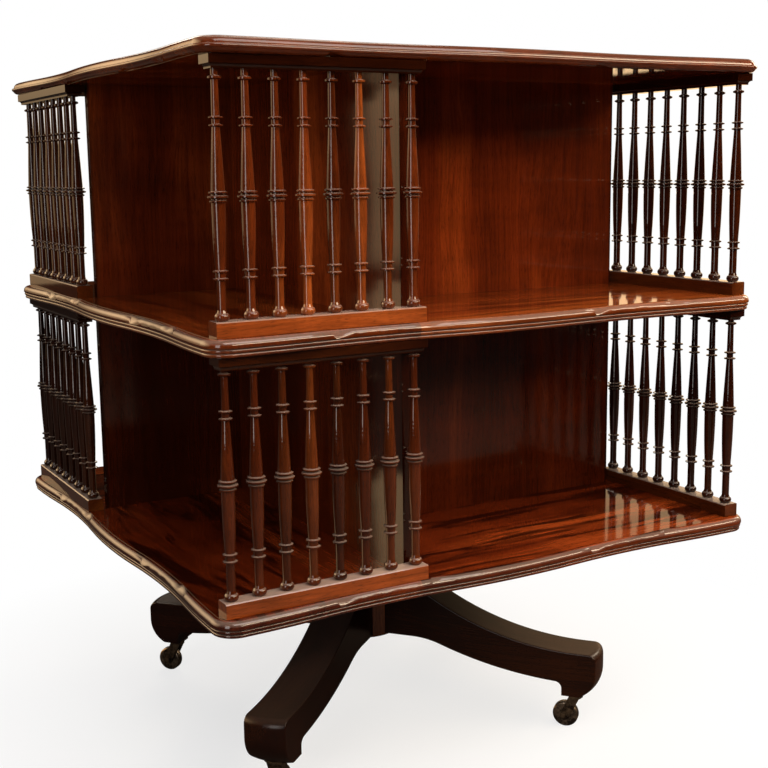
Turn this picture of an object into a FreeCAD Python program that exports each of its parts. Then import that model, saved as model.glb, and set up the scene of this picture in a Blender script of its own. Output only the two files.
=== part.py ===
"""Two-tier revolving bookcase: three serpentine boards, eight spindle galleries and eight book
compartments set as a pinwheel round a closed core, turning on an iron post in a pillar with four
curved legs on casters. Millimetres, +Z up, origin on the floor under the post."""
import FreeCAD
import Part
import math
import os

os.makedirs("parts", exist_ok=True)

Vec = FreeCAD.Vector
UP = Vec(0, 0, 1)

# ---------------------------------------------------------------- driving dimensions
# Levels
shelf_height = 245.0          # floor to the underside of the bottom shelf
lower_clear = 233.0           # clear height of the lower tier
upper_clear = 236.0           # clear height of the upper tier
shelf_thick = 16.0            # bottom and middle shelf
top_thick = 14.0              # top board

# Board outline: rounded corners, two hollows and a swell along each side
board_half = 320.0            # centre to the crests of a side
board_corner = 24.0           # radius of the round corners
hollow_depth = 6.5            # crest to hollow

# Edge mouldings; insets are inward from the outline
edge_ease = 0.3               # arris at a board's faces
reed_height = 3.9             # two reeds along a shelf's lower edge
reed_swell = 2.0
lower_reed_inset = 4.2        # the reeds lean outwards, towards the thumb above them
middle_quirk_inset = 3.6
upper_quirk_inset = 2.4
thumb_inset = 0.4             # nose of the thumb moulding over the reeds
thumb_depth = 7.5             # inset of its upper arris
thumb_swell = 2.8
under_round_inset = 8.0       # top board: round under the bead
under_round_swell = 1.2
bead_bottom = 3.8             # top board: bead, above its underside
bead_height = 3.6
bead_inset = 1.4
bead_swell = 1.35
ovolo_quirk = 1.0             # top board: step behind the bead, before the ovolo
ovolo_depth = 8.0
ovolo_swell = 1.4

# Galleries and partitions
gallery_inset = 20.0          # from a side's crests in to the line of its gallery's spindles
partition_line = 109.0        # centre to a partition's middle plane
partition_thick = 9.0
partition_setback = 15.0      # from the line of the spindles in to a partition's outer end
housing_depth = 4.0           # how deep the partitions are let into the boards
spindles_per_gallery = 8
rail_end = 9.0                # rail beyond its outermost spindles
bottom_rail_width = 18.0
bottom_rail_height = 14.0
bottom_rail_chamfer = 1.0
top_rail_width = 21.5
top_rail_height = 12.0
top_rail_fascia = 8.0         # flat part of the moulding, below it a cove
top_rail_foot = 1.0           # flat part below the cove
top_rail_cove = 3.0           # from the fascia in to the foot

# Spindles; heights are from the bottom rail to the middle of a ring
tenon_radius = 2.5
tenon_length = 8.0
tenon_clearance = 0.05
foot_radius = 6.6             # flattened ball foot on the bottom rail
foot_flat_radius = 4.6        # where the ball meets the rail and the neck
foot_height = 7.0
foot_neck = 2.4               # from the ball up to the neck
neck_radius = 3.9             # between the foot and the low rings
low_waist_radius = 4.6        # at the low rings, under the lower vase
high_waist_radius = 3.5       # at the high rings, above the upper vase
top_neck_radius = 3.1         # at the collar
low_rings_at = 36.0           # lower of the two rings under the lower vase
mid_rings_at = 105.0          # largest of the three rings between the vases
high_rings_at = 164.0         # lower of the two rings above the upper vase
collar_at = 203.0
pair_spacing = 6.5            # between the rings of a pair
mid_spacing = 3.7             # from the largest ring to each ring beside it
ring_thick = 2.6
mid_ring_thick = 3.4
collar_thick = 3.9
ring_flat = 0.4               # share of a ring's thickness between its bevels
low_ring_radius = 6.6
mid_ring_radius = 9.3
mid_low_ring_radius = 7.6     # beside the largest ring, under it
mid_high_ring_radius = 8.2    # and over it
high_ring_radius = 6.1
collar_radius = 5.8
vase_radius = 6.1             # thick end of a vase, at the mid rings
low_vase_swell = 0.4          # how far the lower vase's side bows out
high_vase_swell = 0.1         # and the upper one's

# Pillar and legs
base_heading = -5.0           # the base stands this many degrees round from the case's corners
pillar_radius = 42.0
pillar_foot_round = 4.0
pillar_top_chamfer = 3.0
leg_width = 47.0
leg_edge_round = 1.5
leg_top_radius = 340.0        # upper sweep of a leg
leg_top_level = 98.4          # where the upper sweep runs level, above the floor
leg_top_reach = 270.0         # and how far out
leg_under_radius = 475.0      # lower sweep
leg_under_level = 62.0
leg_under_reach = 265.0
leg_root_level = 96.0         # a leg's underside runs out level from the pillar
leg_root_radius = 100.0       # then bends down into the lower sweep
toe_reach = 294.0             # centre to the front of the toe
toe_bow = 4.0                 # how far its front bows out in plan
toe_brow_radius = 9.0         # round of the toe's upper arris
toe_level = 75.0              # down to here the toe's front is upright
pad_level = 46.0              # height of the pad over the caster
pad_outer = 277.0
pad_inner = 251.0
pad_fillet = 8.0              # hollow between the pad and the lower sweep
leg_tenon_width = 18.0
leg_tenon_length = 16.0
leg_tenon_shoulder = 8.0      # leg standing past its tenon above and below
leg_tenon_clearance = 0.1

# Post and bearings
post_radius = 11.0
running_clearance = 0.06      # radial, between the post and the bushes that turn on it
socket_flange_radius = 40.0
socket_flange_thick = 4.0
socket_sleeve_radius = 18.0
socket_depth = 76.0           # flange top to the closed end of the socket
socket_floor = 6.0
seat_clearance = 0.05         # radial, between pieces let into one another
washer_radius = 26.0
washer_thick = 3.0
washer_clearance = 0.3
bush_flange_radius = 32.0
bush_flange_thick = 4.0
bush_sleeve_radius = 17.0
middle_hole_clearance = 5.0   # radial, round the post in the middle shelf
journal_radius = 8.0          # thin end of the post, in the top bush
journal_length = 22.0
journal_shoulder_gap = 2.0    # post's shoulder to the top bush
block_side = 110.0
block_height = 28.0
top_bush_flange_radius = 25.0
top_bush_flange_thick = 3.0
top_bush_sleeve_radius = 14.0
top_bush_floor = 3.0
journal_end_gap = 3.0         # free space above the journal

# Casters
wheel_radius = 15.0
wheel_width = 10.0
wheel_edge_round = 2.5
axle_radius = 2.5
axle_clearance = 0.06         # radial, between the wheel's bore and its axle
caster_at = 264.0             # centre to the casters' swivel axes
caster_trail = 12.0           # swivel axis to wheel axle
caster_swings = [0.0, 0.0, 180.0, 0.0]   # each corner's caster, swivelled from trailing inwards
plate_radius = 13.0
plate_thick = 2.5
pintle_radius = 4.0
pintle_clearance = 0.06       # radial, between the pintle and the fork's boss
pintle_head_radius = 6.0
pintle_head_thick = 1.5
pintle_head_gap = 0.3
boss_radius = 8.0
boss_height = 6.5
crown_length = 12.8           # fork's crown, along its trail
crown_thick = 3.25
arm_gap = 0.5                 # wheel to fork arm, each side
arm_thick = 3.0
arm_end_radius = 5.5
axle_head_radius = 3.8
axle_head_thick = 1.2

# Screws
plate_screws = 3
plate_screw_circle = 10.4
plate_screw_radius = 1.2
plate_screw_length = 14.0
plate_screw_head = 2.3
flange_screws = 4
flange_screw_circle = 33.0
flange_screw_radius = 2.0
flange_screw_length = 28.0
flange_screw_head = 3.6
screw_tip_radius = 0.4
screw_tip_length = 3.0

edge_match = 0.01             # how closely an edge lies to where it is looked for

# ---------------------------------------------------------------- derived sizes
mid_shelf_height = shelf_height + shelf_thick + lower_clear
top_board_height = mid_shelf_height + shelf_thick + upper_clear
tiers = [
    ("lower", shelf_height + shelf_thick, lower_clear),
    ("upper", mid_shelf_height + shelf_thick, upper_clear),
]
sides = ["front", "right", "back", "left"]      # each a quarter turn on from the one before
corners = ["front_right", "back_right", "back_left", "front_left"]
corner_start = board_half - board_corner        # where a side's last crest runs into the corner
gallery_half = board_half - gallery_inset
partition_reach = gallery_half - partition_setback
spindle_pitch = (gallery_half - partition_line) / (spindles_per_gallery - 1)
pillar_bottom = leg_root_level - pillar_foot_round
washer_top = shelf_height - bush_flange_thick
socket_top = washer_top - washer_thick
pillar_top = socket_top - socket_flange_thick
block_bottom = top_board_height - block_height
axle_reach = caster_at - caster_trail


# ---------------------------------------------------------------- helpers
def turned(shape, degrees):
    """A copy of a shape turned about the post's axis."""
    copy = shape.copy()
    copy.rotate(Vec(0, 0, 0), UP, degrees)
    return copy


def rod(radius, bottom, height, x=0.0, y=0.0):
    """An upright cylinder."""
    return Part.makeCylinder(radius, height, Vec(x, y, bottom))


def cross_rod(radius, x, z, half_length):
    """A level cylinder along Y, centred on the XZ plane."""
    return Part.makeCylinder(radius, 2 * half_length, Vec(x, -half_length, z), Vec(0, 1, 0))


def line(a, b):
    return Part.makeLine(a, b)


def arc(a, middle, b):
    return Part.Arc(a, middle, b).toShape()


def on_circle(cx, cy, radius, angle):
    """A point of a level circle; the angle is in radians."""
    return Vec(cx + radius * math.cos(angle), cy + radius * math.sin(angle), 0)


def save(name, shape):
    shape.exportStep("parts/" + name + ".step")


# ---------------------------------------------------------------- boards
def board_outline():
    """Closed wire of tangent arcs: on each side a swell between two hollows, then a round corner."""
    bend = 2 * math.atan(2 * hollow_depth / corner_start)
    radius = corner_start / (4 * math.sin(bend))
    crest_centre = board_half - radius
    hollow_centre = board_half - radius + 2 * radius * math.cos(bend)
    edges = []
    for quarter in range(4):
        def side_arc(cx, cy, r, start, middle, end):
            points = [on_circle(cx, cy, r, a) for a in (start, middle, end)]
            turn = FreeCAD.Rotation(UP, 90 * quarter)
            edges.append(arc(*[turn.multVec(p) for p in points]))

        half_bend = bend / 2
        side_arc(crest_centre, -corner_start, radius, 0, half_bend, bend)
        side_arc(hollow_centre, -corner_start / 2, radius, math.pi + bend, math.pi, math.pi - bend)
        side_arc(crest_centre, 0, radius, -bend, 0, bend)
        side_arc(hollow_centre, corner_start / 2, radius, math.pi + bend, math.pi, math.pi - bend)
        side_arc(crest_centre, corner_start, radius, -bend, -half_bend, 0)
        side_arc(corner_start, corner_start, board_corner, 0, math.pi / 4, math.pi / 2)
    return Part.Wire(edges)


def edge_waste(thick, profile):
    """The ring of wood that a moulding plane takes off a board's edge.

    profile runs up the finished edge as (kind, points); each point is (inward from the outline, up).
    """
    spare = 1.0

    def place(point):
        inward, up = point
        return Vec(board_half - inward, -corner_start, up)

    first = profile[0][1][0]
    last = profile[-1][1][-1]
    edges = []
    for kind, points in profile:
        placed = [place(p) for p in points]
        edges.append(arc(*placed) if kind == "arc" else line(*placed))
    closing = [last, (last[0], thick + spare), (-4 * spare, thick + spare),
               (-4 * spare, -spare), (first[0], -spare), first]
    edges += [line(place(a), place(b)) for a, b in zip(closing, closing[1:])]
    return board_outline().makePipe(Part.Face(Part.Wire(edges)))


def moulded_board(thick, profile, bottom):
    board = Part.Face(board_outline()).extrude(Vec(0, 0, thick))
    board = board.cut(edge_waste(thick, profile))
    board.translate(Vec(0, 0, bottom))
    return board


def round_out(start, end, swell):
    """A profile's round from start to end that stands out from the straight line by swell."""
    run, rise = end[0] - start[0], end[1] - start[1]
    length = math.hypot(run, rise)
    middle = (start[0] + run / 2 - swell * rise / length, start[1] + rise / 2 + swell * run / length)
    return ("arc", [start, middle, end])


def shelf_profile():
    """Two reeds along the lower edge and a bold thumb above them."""
    underside = (lower_reed_inset, edge_ease)
    middle_quirk = (middle_quirk_inset, reed_height)
    upper_quirk = (upper_quirk_inset, 2 * reed_height)
    nose = (thumb_inset, 2 * reed_height + edge_ease)
    return [
        round_out(underside, middle_quirk, reed_swell),
        round_out(middle_quirk, upper_quirk, reed_swell),
        ("line", [upper_quirk, nose]),
        round_out(nose, (thumb_depth, shelf_thick - edge_ease), thumb_swell),
    ]


def top_profile():
    """A bead low on the edge, rounded under, with a sloping ovolo above it."""
    bead_foot = (bead_inset, bead_bottom)
    bead_top = (bead_inset, bead_bottom + bead_height)
    ovolo_foot = (bead_inset + ovolo_quirk, bead_bottom + bead_height + edge_ease)
    return [
        round_out((under_round_inset, edge_ease), bead_foot, under_round_swell),
        round_out(bead_foot, bead_top, bead_swell),
        ("line", [bead_top, ovolo_foot]),
        round_out(ovolo_foot, (ovolo_depth, top_thick - edge_ease), ovolo_swell),
    ]


def partition_slab(bottom, height):
    """The partition beside the front gallery; the others are quarter turns of it."""
    inner_end = partition_line - partition_thick / 2
    return Part.makeBox(partition_thick, partition_reach + inner_end, height,
                        Vec(-partition_line - partition_thick / 2, -partition_reach, bottom))


def housings(bottom):
    """What four partitions take out of a board they are let into."""
    slab = partition_slab(bottom, housing_depth)
    return [turned(slab, 90 * quarter) for quarter in range(4)]


def bottom_shelf():
    board = moulded_board(shelf_thick, shelf_profile(), shelf_height)
    board = board.cut(housings(shelf_height + shelf_thick - housing_depth))
    return board.cut(rod(bush_sleeve_radius + seat_clearance, shelf_height, shelf_thick))


def mid_shelf():
    board = moulded_board(shelf_thick, shelf_profile(), mid_shelf_height)
    board = board.cut(housings(mid_shelf_height))
    board = board.cut(housings(mid_shelf_height + shelf_thick - housing_depth))
    return board.cut(rod(post_radius + middle_hole_clearance, mid_shelf_height, shelf_thick))


def top_board():
    board = moulded_board(top_thick, top_profile(), top_board_height)
    return board.cut(housings(top_board_height))


def partitions():
    for tier, floor_level, clear in tiers:
        slab = partition_slab(floor_level - housing_depth, clear + 2 * housing_depth)
        for quarter, side in enumerate(sides):
            save(tier + "_partition_" + side, turned(slab, 90 * quarter))


# ---------------------------------------------------------------- galleries
def spindle_places():
    """Distances along the front side, from the case's corner inwards."""
    return [-gallery_half + i * spindle_pitch for i in range(spindles_per_gallery)]


def tenon_holes(bottom):
    return [rod(tenon_radius + tenon_clearance, bottom, tenon_length, x, -gallery_half)
            for x in spindle_places()]


def rail_start():
    return -gallery_half - rail_end


def rail_length():
    return (spindles_per_gallery - 1) * spindle_pitch + 2 * rail_end


def bottom_rail(floor_level):
    """A flat bar with its upper arrises taken off."""
    half = bottom_rail_width / 2
    cut = bottom_rail_chamfer
    high = bottom_rail_height
    section = [(-half, 0), (half, 0), (half, high - cut), (half - cut, high),
               (cut - half, high), (-half, high - cut), (-half, 0)]
    points = [Vec(rail_start(), -gallery_half + y, floor_level + z) for y, z in section]
    bar = Part.Face(Part.makePolygon(points)).extrude(Vec(rail_length(), 0, 0))
    return bar.cut(tenon_holes(floor_level + high - tenon_length))


def moulding(half, middle, across, along):
    """A prism with a fascia above and a cove below on both sides, hanging down from middle.

    half is its half width in the direction across; it reaches as far as along, both ways."""
    foot_half = half - top_rail_cove
    fascia = -top_rail_fascia
    cove_foot = -top_rail_height + top_rail_foot

    def at(y, z):
        return middle - along + across * y + UP * z

    def cove(sign):
        """Hollow like a quarter of an ellipse."""
        bow = math.sqrt(0.5)
        deepest = at(sign * (half - top_rail_cove * bow), cove_foot + (fascia - cove_foot) * bow)
        return arc(at(sign * half, fascia), deepest, at(sign * foot_half, cove_foot))

    edges = [
        line(at(-half, 0), at(half, 0)),
        line(at(half, 0), at(half, fascia)),
        cove(1),
        line(at(foot_half, cove_foot), at(foot_half, -top_rail_height)),
        line(at(foot_half, -top_rail_height), at(-foot_half, -top_rail_height)),
        line(at(-foot_half, -top_rail_height), at(-foot_half, cove_foot)),
        cove(-1),
        line(at(-half, fascia), at(-half, 0)),
    ]
    return Part.Face(Part.Wire(edges)).extrude(along * 2)


def top_rail(ceiling):
    """A moulded bar, its moulding returned round the ends."""
    along = Vec(1, 0, 0)
    across = Vec(0, 1, 0)
    middle = Vec(rail_start() + rail_length() / 2, -gallery_half, ceiling)
    bar = moulding(top_rail_width / 2, middle, across, along * rail_length())
    returns = moulding(rail_length() / 2, middle, along, across * top_rail_width)
    return bar.common(returns).cut(tenon_holes(ceiling - top_rail_height))


class Turning:
    """A lathe profile, drawn upwards from a point on the axis as (radius, height)."""

    def __init__(self, height):
        self.edges = []
        self.here = (0.0, height)

    def go(self, radius, height):
        there = (radius, height)
        if self.point(there) != self.point(self.here):
            self.edges.append(line(self.point(self.here), self.point(there)))
        self.here = there

    def bow(self, middle_radius, middle_height, radius, height):
        there = (radius, height)
        middle = self.point((middle_radius, middle_height))
        self.edges.append(arc(self.point(self.here), middle, self.point(there)))
        self.here = there

    def ring(self, radius, middle, thick, root_below, root_above):
        """A raised ring with bevelled sides, from one root radius to another."""
        self.go(root_below, middle - thick / 2)
        self.go(radius, middle - thick * ring_flat / 2)
        self.go(radius, middle + thick * ring_flat / 2)
        self.go(root_above, middle + thick / 2)

    def vase(self, radius, height, swell):
        """A long tapered stretch with a slightly bowed side."""
        start_radius, start_height = self.here
        self.bow((start_radius + radius) / 2 + swell, (start_height + height) / 2, radius, height)

    def solid(self):
        radius, height = self.here
        self.go(0.0, height)
        first = self.edges[0].Vertexes[0].Point
        self.edges.append(line(self.point(self.here), first))
        return Part.Face(Part.Wire(self.edges)).revolve(Vec(0, 0, 0), UP, 360)

    @staticmethod
    def point(place):
        radius, height = place
        return Vec(radius, 0, height)


def spindle(visible_height):
    """One turned spindle, its ball foot standing at height 0, with a tenon at each end."""
    t = Turning(-tenon_length)
    t.go(tenon_radius, -tenon_length)
    t.go(tenon_radius, 0)
    t.go(foot_flat_radius, 0)
    t.bow(foot_radius, foot_height / 2, foot_flat_radius, foot_height)
    t.go(neck_radius, foot_height + foot_neck)
    t.ring(low_ring_radius, low_rings_at, ring_thick, neck_radius, low_waist_radius)
    t.ring(low_ring_radius, low_rings_at + pair_spacing, ring_thick, low_waist_radius, low_waist_radius)
    t.vase(vase_radius, mid_rings_at - mid_spacing - ring_thick / 2, low_vase_swell)
    t.ring(mid_low_ring_radius, mid_rings_at - mid_spacing, ring_thick, vase_radius, vase_radius)
    t.ring(mid_ring_radius, mid_rings_at, mid_ring_thick, vase_radius, vase_radius)
    t.ring(mid_high_ring_radius, mid_rings_at + mid_spacing, ring_thick, vase_radius, vase_radius)
    t.vase(high_waist_radius, high_rings_at - ring_thick / 2, high_vase_swell)
    for middle in (high_rings_at, high_rings_at + pair_spacing):
        t.ring(high_ring_radius, middle, ring_thick, high_waist_radius, high_waist_radius)
    t.ring(collar_radius, collar_at, collar_thick, top_neck_radius, top_neck_radius)
    t.go(top_neck_radius, visible_height)
    t.go(tenon_radius, visible_height)
    t.go(tenon_radius, visible_height + tenon_length)
    return t.solid()


def galleries():
    for tier, floor_level, clear in tiers:
        low = bottom_rail(floor_level)
        high = top_rail(floor_level + clear)
        one = spindle(clear - bottom_rail_height - top_rail_height)
        row = []
        for x in spindle_places():
            placed = one.copy()
            placed.translate(Vec(x, -gallery_half, floor_level + bottom_rail_height))
            row.append(placed)
        spindle_row = Part.makeCompound(row)
        for quarter, side in enumerate(sides):
            save(tier + "_bottom_rail_" + side, turned(low, 90 * quarter))
            save(tier + "_top_rail_" + side, turned(high, 90 * quarter))
            save(tier + "_spindles_" + side, turned(spindle_row, 90 * quarter))


# ---------------------------------------------------------------- bearings of the case
def lower_bush():
    """Flange under the bottom shelf, sleeve up through it."""
    bush = rod(bush_flange_radius, washer_top, bush_flange_thick)
    bush = bush.fuse(rod(bush_sleeve_radius, washer_top, bush_flange_thick + shelf_thick))
    bore = rod(post_radius + running_clearance, washer_top, bush_flange_thick + shelf_thick)
    return bush.cut(bore).removeSplitter()


def top_bush_body(allowance):
    """The top bush without its bore; the allowance widens and deepens it into its own recess."""
    flange_bottom = block_bottom - top_bush_flange_thick
    sleeve_top = block_bottom + journal_length + journal_end_gap + top_bush_floor - top_bush_flange_thick
    flange = rod(top_bush_flange_radius, flange_bottom, top_bush_flange_thick)
    sleeve = rod(top_bush_sleeve_radius + allowance, flange_bottom, sleeve_top - flange_bottom)
    return flange, sleeve


def top_bush():
    flange, sleeve = top_bush_body(0)
    bore_length = journal_length + journal_end_gap
    bore = rod(journal_radius + running_clearance, block_bottom - top_bush_flange_thick, bore_length)
    return flange.fuse(sleeve).cut(bore).removeSplitter()


def pivot_block():
    half = block_side / 2
    block = Part.makeBox(block_side, block_side, block_height, Vec(-half, -half, block_bottom))
    sleeve = top_bush_body(seat_clearance)[1]
    return block.cut(sleeve)


# ---------------------------------------------------------------- base
def on_arc(centre, radius, degrees):
    """A point of a circle in the XZ plane."""
    angle = math.radians(degrees)
    return centre + Vec(radius * math.cos(angle), 0, radius * math.sin(angle))


def leg_side_face():
    """A blank leg's outline in the XZ plane, from inside the pillar to just past the toe."""
    upper_centre = leg_top_level + leg_top_radius
    lower_centre = leg_under_level + leg_under_radius

    def upper(x):
        return Vec(x, 0, upper_centre - math.sqrt(leg_top_radius ** 2 - (x - leg_top_reach) ** 2))

    def lower(x):
        return Vec(x, 0, lower_centre - math.sqrt(leg_under_radius ** 2 - (x - leg_under_reach) ** 2))

    root = pillar_radius - leg_tenon_length
    past_toe = toe_reach + toe_bow
    pad_front = Vec(past_toe, 0, pad_level)
    pad_back = Vec(pad_inner, 0, pad_level)
    fillet_end = lower(pad_inner - pad_fillet)
    fillet_start = Vec(pad_inner, 0, fillet_end.z - pad_fillet)
    fillet_middle = on_arc(Vec(fillet_end.x, 0, fillet_start.z), pad_fillet, 45)
    # at the root a round bends the level underside down into the lower sweep
    bend_bottom = leg_root_level - leg_root_radius
    bend_rise = lower_centre - bend_bottom
    bend_run = math.sqrt((leg_under_radius + leg_root_radius) ** 2 - bend_rise ** 2)
    bend_centre = Vec(leg_under_reach - bend_run, 0, bend_bottom)
    bend_turn = math.degrees(math.atan2(bend_rise, bend_run))
    bend_start = on_arc(bend_centre, leg_root_radius, 90)
    bend_middle = on_arc(bend_centre, leg_root_radius, (90 + bend_turn) / 2)
    bend_end = on_arc(bend_centre, leg_root_radius, bend_turn)
    root_foot = Vec(root, 0, leg_root_level)
    edges = [
        arc(upper(root), upper((root + past_toe) / 2), upper(past_toe)),
        line(upper(past_toe), pad_front),
        line(pad_front, pad_back),
        line(pad_back, fillet_start),
        arc(fillet_start, fillet_middle, fillet_end),
        arc(fillet_end, lower((fillet_end.x + bend_end.x) / 2), bend_end),
        arc(bend_end, bend_middle, bend_start),
        line(bend_start, root_foot),
        line(root_foot, upper(root)),
    ]
    return Part.Face(Part.Wire(edges)), upper(pillar_radius).z


def toe_trim():
    """What a leg's blank keeps: all of it out to where its top runs level, then a round body whose
    front is the toe's."""
    bow_radius = (toe_bow ** 2 + (leg_width / 2) ** 2) / (2 * toe_bow)
    bow_centre = toe_reach - bow_radius
    # down the front: a brow, a straight fall, a round under to the pad
    drop = toe_level - pad_level
    setback = toe_reach - pad_outer
    under_radius = (setback ** 2 + drop ** 2) / (2 * setback)
    under_turn = math.degrees(math.asin(drop / under_radius))
    brow_centre = Vec(bow_radius - toe_brow_radius, 0, leg_top_level - toe_brow_radius)
    under_centre = Vec(bow_radius - under_radius, 0, toe_level)
    pad_edge = on_arc(under_centre, under_radius, -under_turn)
    crown = on_arc(brow_centre, toe_brow_radius, 90)
    edges = [
        line(Vec(0, 0, 0), Vec(pad_edge.x, 0, 0)),
        line(Vec(pad_edge.x, 0, 0), pad_edge),
        arc(pad_edge, on_arc(under_centre, under_radius, -under_turn / 2), Vec(bow_radius, 0, toe_level)),
        line(Vec(bow_radius, 0, toe_level), on_arc(brow_centre, toe_brow_radius, 0)),
        arc(on_arc(brow_centre, toe_brow_radius, 0), on_arc(brow_centre, toe_brow_radius, 45), crown),
        line(crown, Vec(0, 0, crown.z)),
        line(Vec(0, 0, crown.z), Vec(0, 0, 0)),
    ]
    body = Part.Face(Part.Wire(edges)).revolve(Vec(0, 0, 0), UP, 360)
    body.translate(Vec(bow_centre, 0, 0))
    behind = Part.makeBox(leg_top_reach, 2 * leg_width, shelf_height, Vec(0, -leg_width, 0))
    return body.fuse(behind)


def leg_tenon(allowance):
    """The tenon on a leg along +X; the allowance widens it into its mortise."""
    top = leg_side_face()[1]
    low = leg_root_level + leg_tenon_shoulder - allowance
    high = top - leg_tenon_shoulder + allowance
    start = pillar_radius - leg_tenon_length - allowance
    width = leg_tenon_width + 2 * allowance
    return Part.makeBox(leg_tenon_length + allowance, width, high - low, Vec(start, -width / 2, low))


def outer_arris(edge):
    """True for the arrises along a blank leg's upper sweep and down the toe's front."""
    box = edge.BoundBox
    beside = abs(abs(box.Center.y) - leg_width / 2) < edge_match and box.YLength < edge_match
    sweep = box.XLength > toe_reach / 2 and box.Center.z > leg_top_level
    return beside and (sweep or box.Center.x > pad_outer)


def leg():
    """One leg along +X, hollowed at its root to sit against the pillar, with the caster's pilot holes."""
    side_face = leg_side_face()[0]
    blank = side_face.extrude(Vec(0, leg_width, 0))
    blank.translate(Vec(0, -leg_width / 2, 0))
    blank = blank.common(toe_trim())
    blank = blank.makeFillet(leg_edge_round, [e for e in blank.Edges if outer_arris(e)])
    body = blank.cut(rod(pillar_radius, 0, blank.BoundBox.ZMax))
    body = body.fuse(blank.common(leg_tenon(0)))
    body = body.cut(plate_screw_set(seat_clearance))
    return body.removeSplitter()


def on_heading(shape, quarter):
    """A piece made along +X, turned to its corner of the base."""
    return turned(shape, base_heading - 45 + 90 * quarter)


def pillar():
    """Turned post of wood with a mortise for each leg and a recess for the iron socket."""
    round_middle = pillar_foot_round * (1 - math.sqrt(0.5))
    t = Turning(pillar_bottom)
    t.go(pillar_radius - pillar_foot_round, pillar_bottom)
    t.bow(pillar_radius - round_middle, pillar_bottom + round_middle,
          pillar_radius, pillar_bottom + pillar_foot_round)
    t.go(pillar_radius, pillar_top - pillar_top_chamfer)
    t.go(pillar_radius - pillar_top_chamfer, pillar_top)
    body = t.solid()
    sleeve = rod(socket_sleeve_radius + seat_clearance, socket_top - socket_depth, socket_depth)
    body = body.cut(sleeve)
    body = body.cut(flange_screw_set(seat_clearance))
    mortises = [on_heading(leg_tenon(leg_tenon_clearance), quarter) for quarter in range(4)]
    return body.cut(mortises)


def post_socket():
    flange = rod(socket_flange_radius, pillar_top, socket_flange_thick)
    sleeve = rod(socket_sleeve_radius, socket_top - socket_depth, socket_depth)
    bore_depth = socket_depth - socket_floor
    bore = rod(post_radius + seat_clearance, socket_top - bore_depth, bore_depth)
    body = flange.fuse(sleeve).removeSplitter().cut(bore)
    return body.cut(flange_screw_set(0))


def post():
    """Iron bar standing in the socket, with a thin journal at its top."""
    bottom = socket_top - socket_depth + socket_floor
    journal_bottom = block_bottom - top_bush_flange_thick
    bar = rod(post_radius, bottom, journal_bottom - journal_shoulder_gap - bottom)
    journal = rod(journal_radius, bottom, journal_bottom + journal_length - bottom)
    return bar.fuse(journal).removeSplitter()


def thrust_washer():
    washer = rod(washer_radius, socket_top, washer_thick)
    return washer.cut(rod(post_radius + washer_clearance, socket_top, washer_thick))


# ---------------------------------------------------------------- screws
def countersunk(radius, head_radius, length, allowance):
    """A countersunk screw along +Z, its flat head at height 0 and its point above."""
    head = head_radius - radius
    t = Turning(0)
    t.go(head_radius, 0)
    t.go(radius + allowance, head)
    t.go(radius + allowance, length - screw_tip_length + allowance)
    t.go(screw_tip_radius, length + allowance)
    return t.solid()


def ring_of(screw, count, circle, x, z, start=0.0):
    """Copies of a screw, evenly round a circle."""
    placed = []
    for i in range(count):
        copy = screw.copy()
        copy.translate(Vec(x + circle, 0, z))
        copy.rotate(Vec(x, 0, 0), UP, start + 360.0 * i / count)
        placed.append(copy)
    return placed


def plate_screw_set(allowance):
    """Screws up through a caster plate into the toe of the leg along +X."""
    screw = countersunk(plate_screw_radius, plate_screw_head, plate_screw_length, allowance)
    return ring_of(screw, plate_screws, plate_screw_circle, caster_at, pad_level - plate_thick)


def flange_screw_set(allowance):
    """Screws down through the socket's flange into the pillar, between the legs."""
    screw = countersunk(flange_screw_radius, flange_screw_head, flange_screw_length, allowance)
    screw.rotate(Vec(0, 0, 0), Vec(1, 0, 0), 180)
    return ring_of(screw, flange_screws, flange_screw_circle, 0, socket_top, base_heading)


def base_screws():
    plate_set = Part.makeCompound(plate_screw_set(0))
    groups = [on_heading(plate_set, quarter) for quarter in range(4)]
    return Part.makeCompound(groups + flange_screw_set(0))


# ---------------------------------------------------------------- casters
def caster_plate():
    """Round plate under the toe, with the pintle that the fork swivels on."""
    plate_bottom = pad_level - plate_thick
    head_top = plate_bottom - boss_height - pintle_head_gap
    body = rod(plate_radius, plate_bottom, plate_thick, caster_at)
    body = body.fuse(rod(pintle_radius, head_top, plate_bottom - head_top, caster_at))
    body = body.fuse(rod(pintle_head_radius, head_top - pintle_head_thick, pintle_head_thick, caster_at))
    return body.cut(plate_screw_set(0)).removeSplitter()


def tangent_point(point, centre, radius, turn):
    """Where a tangent from a point meets a circle in the XZ plane; turn picks one of the two."""
    away = point - centre
    angle = math.atan2(away.z, away.x) + turn * math.acos(radius / away.Length)
    return centre + Vec(radius * math.cos(angle), 0, radius * math.sin(angle))


def fork_arm(side, crown_bottom):
    """One arm, its sides running straight from the crown to the round eye at the axle."""
    inner = wheel_width / 2 + arm_gap
    start = inner if side > 0 else -inner - arm_thick
    eye_centre = Vec(axle_reach, start, wheel_radius)
    front = Vec(caster_at + crown_length / 2, start, crown_bottom)
    back = Vec(caster_at - crown_length / 2, start, crown_bottom)
    outline = [back, front, tangent_point(front, eye_centre, arm_end_radius, -1),
               tangent_point(back, eye_centre, arm_end_radius, 1), back]
    web = Part.Face(Part.makePolygon(outline)).extrude(Vec(0, arm_thick, 0))
    eye = Part.makeCylinder(arm_end_radius, arm_thick, eye_centre, Vec(0, 1, 0))
    return web.fuse(eye)


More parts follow.
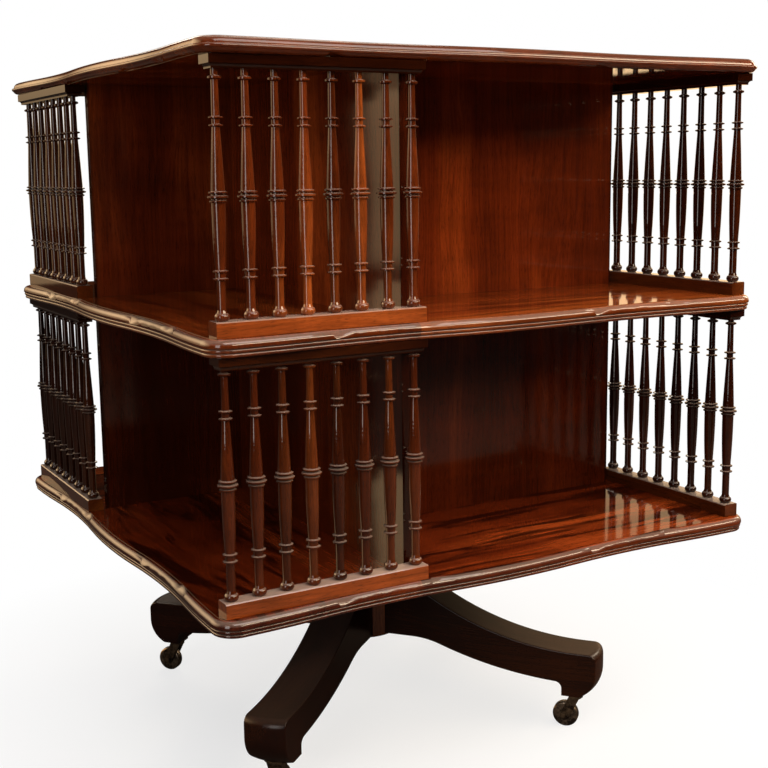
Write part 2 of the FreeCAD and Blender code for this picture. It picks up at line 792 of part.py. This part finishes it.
def caster_fork():
    """Swivel boss with a crown across it and an arm each side of the wheel."""
    boss_top = pad_level - plate_thick
    boss_bottom = boss_top - boss_height
    crown_half = wheel_width / 2 + arm_gap + arm_thick
    body = rod(boss_radius, boss_bottom, boss_height, caster_at)
    crown = Part.makeBox(crown_length, 2 * crown_half, crown_thick,
                         Vec(caster_at - crown_length / 2, -crown_half, boss_top - crown_thick))
    arms = [fork_arm(side, boss_top - crown_thick) for side in (1, -1)]
    body = body.fuse([crown] + arms)
    body = body.cut(rod(pintle_radius + pintle_clearance, boss_bottom, boss_height, caster_at))
    head_room = rod(pintle_head_radius + pintle_head_gap, 0, boss_bottom, caster_at)
    body = body.cut(head_room)
    return body.cut(cross_rod(axle_radius, axle_reach, wheel_radius, crown_half)).removeSplitter()


def caster_wheel():
    """Metal wheel with rounded rims, centred on its axle."""
    half = wheel_width / 2
    body = cross_rod(wheel_radius, axle_reach, wheel_radius, half)
    rims = [e for e in body.Edges if abs(e.Length - 2 * math.pi * wheel_radius) < edge_match]
    body = body.makeFillet(wheel_edge_round, rims)
    return body.cut(cross_rod(axle_radius + axle_clearance, axle_reach, wheel_radius, half))


def caster_axle():
    """Pin riveted over on the outside of both fork arms."""
    outer = wheel_width / 2 + arm_gap + arm_thick
    pin = cross_rod(axle_radius, axle_reach, wheel_radius, outer + axle_head_thick)
    for y in (-outer - axle_head_thick, outer):
        centre = Vec(axle_reach, y, wheel_radius)
        pin = pin.fuse(Part.makeCylinder(axle_head_radius, axle_head_thick, centre, Vec(0, 1, 0)))
    return pin.removeSplitter()


# ---------------------------------------------------------------- the whole piece
def make_case():
    save("bottom_shelf", bottom_shelf())
    save("middle_shelf", mid_shelf())
    save("top_board", top_board())
    partitions()
    galleries()
    save("lower_bush", lower_bush())
    save("pivot_block", pivot_block())
    save("top_bush", top_bush())


def make_base():
    save("pillar", pillar())
    save("post_socket", post_socket())
    save("post", post())
    save("thrust_washer", thrust_washer())
    plate = caster_plate()
    save("caster_plates", Part.makeCompound([on_heading(plate, quarter) for quarter in range(4)]))
    save("base_screws", base_screws())
    one_leg = leg()
    caster = {"fork": caster_fork(), "wheel": caster_wheel(), "axle": caster_axle()}
    for quarter, corner in enumerate(corners):
        save("leg_" + corner, on_heading(one_leg, quarter))
        for piece, shape in caster.items():
            swung = shape.copy()
            swung.rotate(Vec(caster_at, 0, 0), UP, caster_swings[quarter])
            save("caster_" + piece + "_" + corner, on_heading(swung, quarter))


make_case()
make_base()
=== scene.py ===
"""Looks of the revolving bookcase: polished mahogany, dark casters, studio light, camera."""
import math

import bpy
from mathutils import Matrix, Vector

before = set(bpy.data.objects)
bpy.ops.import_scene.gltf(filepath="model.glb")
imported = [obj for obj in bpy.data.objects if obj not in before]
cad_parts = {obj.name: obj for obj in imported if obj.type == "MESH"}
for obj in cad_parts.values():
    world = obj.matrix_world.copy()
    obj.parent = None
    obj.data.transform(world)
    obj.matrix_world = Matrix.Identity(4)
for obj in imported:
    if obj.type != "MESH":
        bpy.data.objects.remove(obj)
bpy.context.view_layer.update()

IMAGE_SIZE = 768                      # pixels, both ways

# Places in the frame of model.glb, in metres
PARTITION_LINE = 0.109                # centre to a partition's middle plane
PARTITION_END = 0.285                 # centre to a partition's outer end
GALLERY_HALF = 0.300                  # centre to a gallery's row of spindles
SPINDLE_PITCH = (GALLERY_HALF - PARTITION_LINE) / 7
UPPER_TIER = 0.502                    # a level inside the middle shelf
BASE_HEADING = math.radians(-50.0)    # the front right leg's; the others follow by quarter turns
SIDES = ["front", "right", "back", "left"]
CORNERS = ["front_right", "back_right", "back_left", "front_left"]
TIERS = ["lower", "upper"]


# ---------------------------------------------------------------- node helpers
class Nodes:
    """Builds the nodes of one material or world.

    A method that makes a node returns its output socket, unless its comment says otherwise.
    """

    def __init__(self, owner, output):
        owner.use_nodes = True
        self.owner = owner
        self.tree = owner.node_tree
        self.tree.nodes.clear()
        self.out = self.tree.nodes.new(output)

    def link(self, value, socket):
        """Links a socket, or sets a plain value; a colour of three numbers gets its alpha."""
        if isinstance(value, bpy.types.NodeSocket):
            self.tree.links.new(value, socket)
        elif isinstance(value, tuple) and len(socket.default_value) == 4 and len(value) == 3:
            socket.default_value = (*value, 1.0)
        else:
            socket.default_value = value

    def make(self, kind, **inputs):
        """Returns the node itself; an underscore in a key is a space in the input's name."""
        node = self.tree.nodes.new(kind)
        for key, value in inputs.items():
            self.link(value, node.inputs[key.replace("_", " ")])
        return node

    def operate(self, kind, operation, values):
        """Returns the node itself."""
        node = self.tree.nodes.new(kind)
        node.operation = operation
        for socket, value in zip(node.inputs, values):
            self.link(value, socket)
        return node

    def math(self, operation, *values):
        return self.operate("ShaderNodeMath", operation, values).outputs[0]

    def vector_math(self, operation, *values):
        """Returns the node itself, as its output depends on the operation."""
        return self.operate("ShaderNodeVectorMath", operation, values)

    def place(self):
        """The point in the object's own coordinates, which are the part's frame at rest."""
        return self.make("ShaderNodeTexCoord").outputs["Object"]

    def split(self, vector):
        """Returns three sockets."""
        return tuple(self.make("ShaderNodeSeparateXYZ", Vector=vector).outputs)

    def join(self, x, y, z):
        return self.make("ShaderNodeCombineXYZ", X=x, Y=y, Z=z).outputs[0]

    def scaled(self, vector, scale, shift=(0.0, 0.0, 0.0)):
        return self.make("ShaderNodeMapping", Vector=vector, Scale=scale, Location=shift).outputs[0]

    def turned(self, vector, euler):
        return self.make("ShaderNodeMapping", Vector=vector, Rotation=euler).outputs[0]

    def noise(self, vector, detail=2.0, roughness=0.5, distortion=0.0):
        return self.make("ShaderNodeTexNoise", Vector=vector, Scale=1.0, Detail=detail,
                         Roughness=roughness, Distortion=distortion).outputs[0]

    def ramp(self, value, *stops):
        """A colour ramp; each stop is (place, colour or grey)."""
        node = self.make("ShaderNodeValToRGB", Fac=value)
        elements = node.color_ramp.elements
        while len(elements) < len(stops):
            elements.new(0.5)
        for element, (place, colour) in zip(elements, stops):
            element.position = place
            grey = not isinstance(colour, tuple)
            element.color = (colour, colour, colour, 1.0) if grey else (*colour, 1.0)
        return node.outputs[0]

    def mix(self, factor, a, b, blend="MIX"):
        node = self.tree.nodes.new("ShaderNodeMix")
        node.data_type = "RGBA"
        node.blend_type = blend
        # a Mix node has a set of inputs and an output for each data type; these are the colour's
        for index, value in ((0, factor), (6, a), (7, b)):
            self.link(value, node.inputs[index])
        return node.outputs[2]

    def multiplied(self, colour, factor):
        return self.mix(1.0, colour, factor, "MULTIPLY")

    def mix_shader(self, factor, a, b):
        node = self.make("ShaderNodeMixShader", Fac=factor)
        self.link(a, node.inputs[1])
        self.link(b, node.inputs[2])
        return node.outputs[0]

    def bump(self, height, strength, distance, arris=0.0):
        """Bump of a height field; arris rounds the shading over sharp edges."""
        node = self.make("ShaderNodeBump", Height=height, Strength=strength, Distance=distance)
        if arris > 0.0:
            bevel = self.make("ShaderNodeBevel", Radius=arris)
            bevel.samples = 4
            self.link(bevel.outputs[0], node.inputs["Normal"])
        return node.outputs[0]

    def finish(self, shader):
        """Returns the finished material or world."""
        self.tree.links.new(shader, self.out.inputs["Surface"])
        return self.owner


def material_nodes(name):
    return Nodes(bpy.data.materials.new(name), "ShaderNodeOutputMaterial")


def surface(n, colour, roughness, normal, **fixed):
    """A Principled surface; what is even all over the piece is set on the shader's own sockets."""
    shader = n.make("ShaderNodeBsdfPrincipled", Base_Color=colour, Roughness=roughness,
                    Normal=normal, **fixed)
    return n.finish(shader.outputs[0])


def times(factor, colour):
    return tuple(factor * part for part in colour)


# ---------------------------------------------------------------- mahogany
DARK = (0.014, 0.0030, 0.0016)
MID = (0.150, 0.026, 0.0050)
LIGHT = (0.370, 0.085, 0.0150)
# dust on level tops; on the boards' moulded edges also painted sheen
DUST_AND_SHEEN = (0.410, 0.325, 0.275)

# Scales of the wood's noises, per metre: along the grain, then twice across it
DRIFT_SCALE = (2.2, 7.0, 7.0)
BROAD_SCALE = (1.6, 11.0, 11.0)
STREAK_SCALE = (5.0, 52.0, 52.0)
LINE_SCALE = (7.0, 330.0, 330.0)
PORE_SCALE = (110.0, 2100.0, 2100.0)
MOTTLE_SCALE = (34.0, 9.0, 9.0)

GRAIN_DRIFT = 0.08                    # metres that the grain wanders sideways
QUIRK_SHADE_REACH = 0.003                 # metres; how near a wall makes a quirk, darkened as painted shade and old polish
PORE_DARKNESS = 0.55
LEAST_ROUGHNESS, LINE_ROUGHNESS, DUST_ROUGHNESS = 0.30, 0.18, 0.35
LINE_HEIGHT = 0.35                    # of a pore's depth
WOOD_BUMP = {"strength": 0.35, "distance": 0.00012}
COAT_IOR = 1.50                       # of the polish

WOOD_ARRIS = 0.0008                   # metres; rounding of the shading over sharp edges
BOARD_ARRIS = 0.0035                  # the same for the three boards
PLAIN_EDGE = 1.0                      # edge_shade_tone of a piece whose edges are like its faces, with no painted shade


def mahogany(name, grain, figure, tone, gloss, seed=0.0, dust=0.0, polish=0.9, red=0.0,
             edge_shade_tone=PLAIN_EDGE, edge_dust_and_sheen=0.0, shade=None, arris=WOOD_ARRIS):
    """Polished mahogany.

    grain(nodes) gives the point with X along the grain. figure sets the dark streaks, which are
    strongest on level faces, tone the lightness, red the shift towards red, gloss the polish's
    roughness, polish its amount and dust the dull film on level tops. edge_shade_tone is the
    lightness of a board's moulded edges, darkened as painted shade, and edge_dust_and_sheen the
    pale film on them, which is dust and painted sheen. shade(nodes) gives a further factor, which
    carries painted shade and, for spindles, a tone of each one. arris is the rounding of the
    shading over sharp edges.
    """
    n = material_nodes(name)
    along = grain(n)
    shift = (seed, 1.7 * seed, 0.6 * seed)
    drift = n.noise(n.scaled(along, DRIFT_SCALE, shift))
    aside = n.math("MULTIPLY", n.math("SUBTRACT", drift, 0.5), GRAIN_DRIFT)
    drifted = n.vector_math("ADD", along, n.join(0.0, aside, aside)).outputs["Vector"]
    up = n.split(n.make("ShaderNodeNewGeometry").outputs["Normal"])[2]
    level = n.math("ABSOLUTE", up)

    # broad light and dark, then dark streaks, then fine growth lines, then pores
    broad = n.noise(n.scaled(drifted, BROAD_SCALE, shift), detail=3.0, roughness=0.55)
    colour = n.ramp(broad, (0.30, times(0.55, MID)), (0.52, MID), (0.74, LIGHT))
    streaks = n.noise(n.scaled(drifted, STREAK_SCALE, shift),
                      detail=4.0, roughness=0.6, distortion=0.5)
    streak_mask = n.ramp(streaks, (0.50, 0.0), (0.60, 1.0))
    flat = n.ramp(level, (0.70, 0.25), (0.98, 1.0))
    figured = n.math("MULTIPLY", n.math("MULTIPLY", streak_mask, flat), figure)
    colour = n.mix(figured, colour, DARK)
    lines = n.noise(n.scaled(drifted, LINE_SCALE, shift), detail=3.0, roughness=0.7)
    colour = n.multiplied(colour, n.ramp(lines, (0.30, 0.62), (0.70, 1.22)))
    pores = n.noise(n.scaled(along, PORE_SCALE, shift), detail=1.0)
    pore_mask = n.ramp(pores, (0.60, 0.0), (0.68, 1.0))
    colour = n.mix(n.math("MULTIPLY", pore_mask, PORE_DARKNESS), colour, DARK)

    # mottle across the grain, as the light catches the curl of the fibres
    mottle = n.noise(n.scaled(drifted, MOTTLE_SCALE, shift))
    tint = (tone, tone * (1.0 - red), tone * (1.0 - red))
    colour = n.multiplied(colour, n.ramp(mottle, (0.30, times(0.86, tint)),
                                         (0.70, times(1.14, tint))))
    if shade is not None:
        colour = n.multiplied(colour, shade(n))
    # painted shade: a board's moulded edges darker than its level faces
    if edge_shade_tone != PLAIN_EDGE:
        colour = n.multiplied(colour, n.ramp(level, (0.85, edge_shade_tone), (0.99, 1.0)))

    # painted shade in the quirks, from ambient occlusion, and old polish gone dark there
    quirk_polish_and_shade = n.make("ShaderNodeAmbientOcclusion", Distance=QUIRK_SHADE_REACH)
    quirk_polish_and_shade.samples = 4
    quirk_polish_and_shade.only_local = True
    colour = n.multiplied(colour, n.ramp(quirk_polish_and_shade.outputs["AO"], (0.20, 0.20), (0.60, 1.0)))

    rough = n.math("ADD", LEAST_ROUGHNESS, n.math("MULTIPLY", lines, LINE_ROUGHNESS))
    height = n.math("SUBTRACT", n.math("MULTIPLY", lines, LINE_HEIGHT), pore_mask)
    if dust > 0.0:
        dust_and_sheen_film = n.math("MULTIPLY", n.ramp(up, (0.35, 0.0), (0.95, 1.0)), dust)
        dust_and_sheen_film = n.math("MULTIPLY", dust_and_sheen_film, n.ramp(broad, (0.3, 0.6), (0.7, 1.0)))
        colour = n.mix(dust_and_sheen_film, colour, DUST_AND_SHEEN)
        rough = n.math("ADD", rough, n.math("MULTIPLY", dust_and_sheen_film, DUST_ROUGHNESS))
    # pale film on the mouldings' sloping faces, not on flat tops: dust and painted sheen of the
    # light above
    if edge_dust_and_sheen > 0.0:
        dust_and_sheen_film = n.ramp(up, (0.20, 0.0), (0.60, edge_dust_and_sheen), (0.93, edge_dust_and_sheen), (0.99, 0.0))
        colour = n.mix(dust_and_sheen_film, colour, DUST_AND_SHEEN)
    return surface(n, colour, rough, n.bump(height, arris=arris, **WOOD_BUMP),
                   Coat_Weight=polish, Coat_Roughness=gloss, Coat_IOR=COAT_IOR,
                   Specular_IOR_Level=0.0)


# ---------------------------------------------------------------- grain directions
def along_x(n):
    return n.place()


def along_y(n):
    x, y, z = n.split(n.place())
    return n.join(y, x, z)


def along_z(n):
    x, y, z = n.split(n.place())
    return n.join(z, x, y)


def along_heading(heading):
    def grain(n):
        return n.turned(n.place(), (0.0, 0.0, -heading))
    return grain


def pinwheel(n):
    """Grain along the nearest side of a shelf, whose four floors follow each other round."""
    x, y, z = n.split(n.place())
    line = PARTITION_LINE
    apart = 3.0                       # keeps the figure of the two directions apart
    front = n.math("MULTIPLY", n.math("LESS_THAN", y, -line), n.math("GREATER_THAN", x, -line))
    back = n.math("MULTIPLY", n.math("GREATER_THAN", y, line), n.math("LESS_THAN", x, line))
    lengthwise = n.math("MAXIMUM", front, back)
    across = n.math("SUBTRACT", 1.0, lengthwise)

    def pick(a, b):
        return n.math("ADD", n.math("MULTIPLY", lengthwise, a), n.math("MULTIPLY", across, b))

    return n.join(pick(x, y), pick(y, n.math("ADD", x, apart)), z)


# ---------------------------------------------------------------- shades
# painted shade on the partitions' outer ends
END_SHADE_TONE = 0.30
LOWER_TIER_SPINDLE_SHADE = 0.55             # the lower tier's spindles next to the upper tier's, darker as painted shade
LEAST_SPINDLE_TONE, MOST_SPINDLE_TONE = 0.50, 1.25


def painted_end_shade(n):
    """The partitions' outer ends, darkened as painted shade."""
    x, y, _ = n.split(n.place())
    reach = n.math("MAXIMUM", n.math("ABSOLUTE", x), n.math("ABSOLUTE", y))
    return n.ramp(reach, (PARTITION_END - 0.0010, 1.0), (PARTITION_END - 0.0002, END_SHADE_TONE))


def spindle_tone_and_tier_shade(n):
    """A tone of its own for each spindle, and painted shade that darkens the lower tier's."""
    x, y, z = n.split(n.place())
    offset = GALLERY_HALF + SPINDLE_PITCH / 2
    cells = [n.math("FLOOR", n.math("DIVIDE", n.math("ADD", value, offset), SPINDLE_PITCH))
             for value in (x, y)]
    upper = n.math("GREATER_THAN", z, UPPER_TIER)
    own = n.make("ShaderNodeTexWhiteNoise", Vector=n.join(*cells, upper)).outputs["Value"]
    lower_tier_shade = n.ramp(upper, (0.0, LOWER_TIER_SPINDLE_SHADE), (1.0, 1.0))
    return n.multiplied(lower_tier_shade,
                        n.ramp(own, (0.0, LEAST_SPINDLE_TONE), (1.0, MOST_SPINDLE_TONE)))


# ---------------------------------------------------------------- wooden pieces
def give(node_name, material):
    """Puts one material in every slot of a CAD node."""
    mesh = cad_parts[node_name].data
    mesh.materials.clear()
    mesh.materials.append(material)


def dress_boards():
    # painted shade on the moulded edges; the film on their slopes is dust and painted sheen
    edges = {"edge_shade_tone": 0.45, "edge_dust_and_sheen": 0.22, "arris": BOARD_ARRIS}
    give("bottom_shelf", mahogany("bottom_shelf_mahogany", pinwheel, figure=0.9, tone=0.95,
                                  gloss=0.08, red=0.25, **edges))
    give("middle_shelf", mahogany("middle_shelf_mahogany", pinwheel, figure=0.6, tone=1.55,
                                  gloss=0.07, seed=3.1, **edges))
    give("top_board", mahogany("top_mahogany", along_x, figure=0.5, tone=1.3, gloss=0.08, seed=2.3,
                               edge_shade_tone=0.60, edge_dust_and_sheen=0.06, arris=BOARD_ARRIS))


def dress_tiers():
    """Partitions, rails and spindles.

    Each tier has one panel wood for the front and right sides and a darker copy for the back and
    left, the darkness being painted shade, and the lower tier's panels are darker than the upper
    tier's, also as painted shade. The rails and spindles have one wood for the front and back sides
    and one for the right and left, where the rails' grain runs along Y; the right and left ones are
    darker, as painted shade, and the top rails are dark all over, as painted shade.
    """
    # painted shade: the back and left copy at 0.65, and the lower tier's 0.42 against the upper's
    # 0.95
    panels = {tier: [mahogany(f"{tier}_panel_mahogany_{side}", along_z, figure=0.25,
                              tone=tone * painted_side_shade, gloss=0.10, seed=5.1, red=0.2, shade=painted_end_shade)
                     for side, painted_side_shade in (("front", 1.0), ("back", 0.65))]
              for tier, tone in zip(TIERS, [0.42, 0.95])}
    lengthwise = [along_x, along_y]
    # painted shade: the right and left bottom rails darker than the front and back ones
    low_rails = [mahogany(f"bottom_rail_mahogany_{side}", grain, figure=0.2, tone=tone,
                          gloss=0.05, seed=7.7, dust=0.9, red=-0.2)
                 for side, grain, tone in zip(SIDES, lengthwise, [1.7, 0.5])]
    # painted shade: the top rails' low tone stands for the shadow of the board above
    high_rails = [mahogany(f"top_rail_mahogany_{side}", grain, figure=0.4, tone=0.12,
                           gloss=0.06, seed=9.2)
                  for side, grain in zip(SIDES, lengthwise)]
    # painted shade: the right and left spindles darker than the front and back ones
    spindles = [mahogany(f"spindle_mahogany_{side}", along_z, figure=0.55, tone=tone,
                         gloss=0.04, seed=12.4, dust=0.35, shade=spindle_tone_and_tier_shade)
                for side, tone in zip(SIDES, [0.78, 0.26])]
    for tier in TIERS:
        for quarter, side in enumerate(SIDES):
            give(f"{tier}_partition_{side}", panels[tier][quarter // 2])
            give(f"{tier}_bottom_rail_{side}", low_rails[quarter % 2])
            give(f"{tier}_top_rail_{side}", high_rails[quarter % 2])
            give(f"{tier}_spindles_{side}", spindles[quarter % 2])
    give("pivot_block", panels["upper"][0])


def dress_base():
    give("pillar", mahogany("pillar_mahogany", along_z, figure=0.5, tone=0.45, gloss=0.14,
                            seed=15.0))
    for quarter, corner in enumerate(CORNERS):
        heading = BASE_HEADING + quarter * math.pi / 2
        give(f"leg_{corner}", mahogany(f"leg_mahogany_{corner}", along_heading(heading),
                                       figure=0.5, tone=0.08, gloss=0.26, seed=17.0 + quarter,
                                       dust=0.09, polish=0.5))


# ---------------------------------------------------------------- metals
PATCH_SCALE = (140.0, 140.0, 140.0)   # of the worn patches, per metre
FINE_SCALE = (900.0, 900.0, 900.0)    # of the surface's fine unevenness
FINE_ROUGHNESS = 0.18
METAL_BUMP = {"strength": 0.25, "distance": 0.0002}


def worn_metal(name, dark, bright, roughness, seed=0.0):
    """Metal with patches of a dark and a bright colour."""
    n = material_nodes(name)
    place = n.place()
    patches = n.noise(n.scaled(place, PATCH_SCALE, (seed, seed, seed)), detail=4.0, roughness=0.65)
    colour = n.ramp(patches, (0.40, dark), (0.66, bright))
    fine = n.noise(n.scaled(place, FINE_SCALE))
    rough = n.math("ADD", roughness, n.math("MULTIPLY", fine, FINE_ROUGHNESS))
    return surface(n, colour, rough, n.bump(fine, **METAL_BUMP), Metallic=1.0)


def dress_metal():
    caster = worn_metal("caster_brass", (0.03, 0.022, 0.018), (0.22, 0.16, 0.10), 0.30)
    wheel = worn_metal("wheel_brass", (0.04, 0.032, 0.026), (0.28, 0.22, 0.16), 0.28, seed=4.0)
    brass = worn_metal("bearing_brass", (0.30, 0.21, 0.10), (0.60, 0.43, 0.20), 0.28, seed=8.0)
    iron = worn_metal("post_iron", (0.06, 0.06, 0.065), (0.20, 0.20, 0.21), 0.38, seed=3.0)
    steel = worn_metal("screw_steel", (0.22, 0.22, 0.22), (0.50, 0.50, 0.50), 0.32, seed=6.0)
    for corner in CORNERS:
        give(f"caster_fork_{corner}", caster)
        give(f"caster_axle_{corner}", caster)
        give(f"caster_wheel_{corner}", wheel)
    give("caster_plates", caster)
    give("base_screws", steel)
    for name in ("lower_bush", "top_bush", "thrust_washer"):
        give(name, brass)
    for name in ("post", "post_socket"):
        give(name, iron)


# ---------------------------------------------------------------- floor
FLOOR_HALF = 6.0                      # metres
FADE_REACH = 2.0                      # metres; the fade's places are shares of it
FLOOR_FADE = ((0.08, 0.70), (0.34, 1.0))    # (place, share of the background's white)
FLOOR_LIT = (0.13, 0.11, 0.10)        # what the floor throws back on the bookcase
FLOOR_SEEN = (0.86, 0.86, 0.86)       # what the camera sees of it
WHITE = (1.0, 1.0, 1.0)


def make_floor():
    """A pale floor that fades into the white of the background away from the bookcase."""
    mesh = bpy.data.meshes.new("floor")
    corners = [(x * FLOOR_HALF, y * FLOOR_HALF, 0.0)
               for x, y in ((-1, -1), (1, -1), (1, 1), (-1, 1))]
    mesh.from_pydata(corners, [], [(0, 1, 2, 3)])
    floor = bpy.data.objects.new("floor", mesh)
    bpy.context.scene.collection.objects.link(floor)
    n = material_nodes("floor")
    distance = n.vector_math("LENGTH", n.place()).outputs["Value"]
    fade = n.ramp(n.math("DIVIDE", distance, FADE_REACH), *FLOOR_FADE)
    camera_ray = n.make("ShaderNodeLightPath").outputs["Is Camera Ray"]
    tone = n.mix(camera_ray, FLOOR_LIT, FLOOR_SEEN)
    pale = n.make("ShaderNodeBsdfDiffuse", Color=tone).outputs[0]
    white = n.make("ShaderNodeEmission", Color=WHITE, Strength=1.0).outputs[0]
    blend = n.mix_shader(n.math("MULTIPLY", fade, camera_ray), pale, white)
    mesh.materials.append(n.finish(blend))


# ---------------------------------------------------------------- light
LAMP_TARGET = (0.0, 0.0, 0.45)
AMBER = (1.0, 0.80, 0.56)
# name, place, width and height, watts, colour
LAMPS = [
    ("key", (1.05, -1.65, 1.38), (2.6, 0.28), 42.0, AMBER),
    ("high", (0.95, -1.80, 2.05), (2.0, 0.20), 8.0, AMBER),
    ("softbox", (0.1, -1.5, 2.45), (2.4, 1.1), 48.0, (1.0, 0.92, 0.86)),
    ("left", (-1.96, -1.44, 0.90), (0.7, 1.5), 17.0, (1.0, 0.93, 0.88)),
    ("right", (2.4, 0.4, 1.4), (0.4, 0.9), 12.0, (1.0, 0.84, 0.64)),
    ("above", (0.2, 0.5, 2.3), (1.2, 1.2), 8.0, (1.0, 0.88, 0.70)),
    ("back", (0.9, 2.2, 1.9), (1.4, 1.0), 26.0, (1.0, 0.88, 0.74)),
]
AMBIENT_COLOUR, AMBIENT_STRENGTH = (1.0, 0.95, 0.90), 0.15

# The room that the polish reflects: strengths of its dim front, its two walls and the left
# wall's bright band
ROOM_COLOUR = (1.0, 0.66, 0.35)
ROOM_STRENGTH = 0.015
RIGHT_WALL_STRENGTH = 2.9
RIGHT_WALL_EDGE = {"From_Min": 0.30, "From_Max": 0.68}
LEFT_WALL_STRENGTH = 2.7
LEFT_BAND_STRENGTH = 14.0
LEFT_BAND = ((0.04, 0.0), (0.30, 1.0), (0.50, 1.0), (0.70, 0.0))    # (height, share)


def area_light(name, place, size, watts, colour):
    data = bpy.data.lights.new(name, "AREA")
    data.shape = "RECTANGLE"
    data.size, data.size_y = size
    data.energy = watts
    data.color = colour
    lamp = bpy.data.objects.new(name, data)
    lamp.location = place
    aim = Vector(LAMP_TARGET) - Vector(place)
    lamp.rotation_euler = aim.to_track_quat("-Z", "Y").to_euler()
    bpy.context.scene.collection.objects.link(lamp)


def make_world():
    """An even dim light, a room for reflections only, and a white background for the camera."""
    world = bpy.data.worlds.new("studio")
    bpy.context.scene.world = world
    n = Nodes(world, "ShaderNodeOutputWorld")
    path = n.make("ShaderNodeLightPath")

    def background(colour, strength):
        return n.make("ShaderNodeBackground", Color=colour, Strength=strength).outputs[0]

    # the room: a bright wall behind at the right, a golden one behind at the left, brighter above
    # eye level, and a dim room in front
    x, y, z = n.split(n.make("ShaderNodeTexCoord").outputs["Generated"])
    behind = n.math("MAXIMUM", y, 0.0)
    edge = n.make("ShaderNodeMapRange", Value=x, **RIGHT_WALL_EDGE).outputs[0]
    low = n.math("SUBTRACT", 1.0, n.math("ABSOLUTE", z))
    right = n.math("MULTIPLY", n.math("MULTIPLY", behind, edge), n.math("POWER", low, 2.0))
    right = n.math("MULTIPLY", right, RIGHT_WALL_STRENGTH)
    to_left = n.math("MAXIMUM", n.math("MULTIPLY", x, -1.0), 0.0)
    band = n.math("MULTIPLY", n.ramp(z, *LEFT_BAND), LEFT_BAND_STRENGTH)
    left = n.math("MULTIPLY", n.math("MULTIPLY", behind, to_left),
                  n.math("ADD", LEFT_WALL_STRENGTH, band))
    strength = n.math("ADD", left, n.math("ADD", ROOM_STRENGTH, right))

    ambient = background(AMBIENT_COLOUR, AMBIENT_STRENGTH)
    shown = n.mix_shader(path.outputs["Is Glossy Ray"], ambient, background(ROOM_COLOUR, strength))
    n.finish(n.mix_shader(path.outputs["Is Camera Ray"], shown, background(WHITE, 1.0)))


def make_light():
    for lamp in LAMPS:
        area_light(*lamp)
    make_world()


# ---------------------------------------------------------------- camera
def make_camera():
    """The photograph's camera, as fitted to points of spindles, rails and panels."""
    focal_pixels = 1229.1
    optical_centre = (385.3, 367.7)      # pixels from the picture's top left
    yaw, pitch, roll = 0.5243, 0.1611, -0.0124
    data = bpy.data.cameras.new("camera")
    data.sensor_width = 36.0
    data.lens = data.sensor_width * focal_pixels / IMAGE_SIZE
    data.shift_x = (IMAGE_SIZE / 2 - optical_centre[0]) / IMAGE_SIZE
    data.shift_y = (optical_centre[1] - IMAGE_SIZE / 2) / IMAGE_SIZE
    camera = bpy.data.objects.new("camera", data)
    camera.location = (-0.7013, -1.2708, 0.6513)
    turn = (Matrix.Rotation(-yaw, 3, "Z") @ Matrix.Rotation(math.pi / 2 - pitch, 3, "X")
            @ Matrix.Rotation(roll, 3, "Z"))
    camera.rotation_euler = turn.to_euler()
    bpy.context.scene.collection.objects.link(camera)
    bpy.context.scene.camera = camera
    bpy.context.scene.view_settings.view_transform = "Standard"


dress_boards()
dress_tiers()
dress_base()
dress_metal()
make_floor()
make_light()
make_camera()
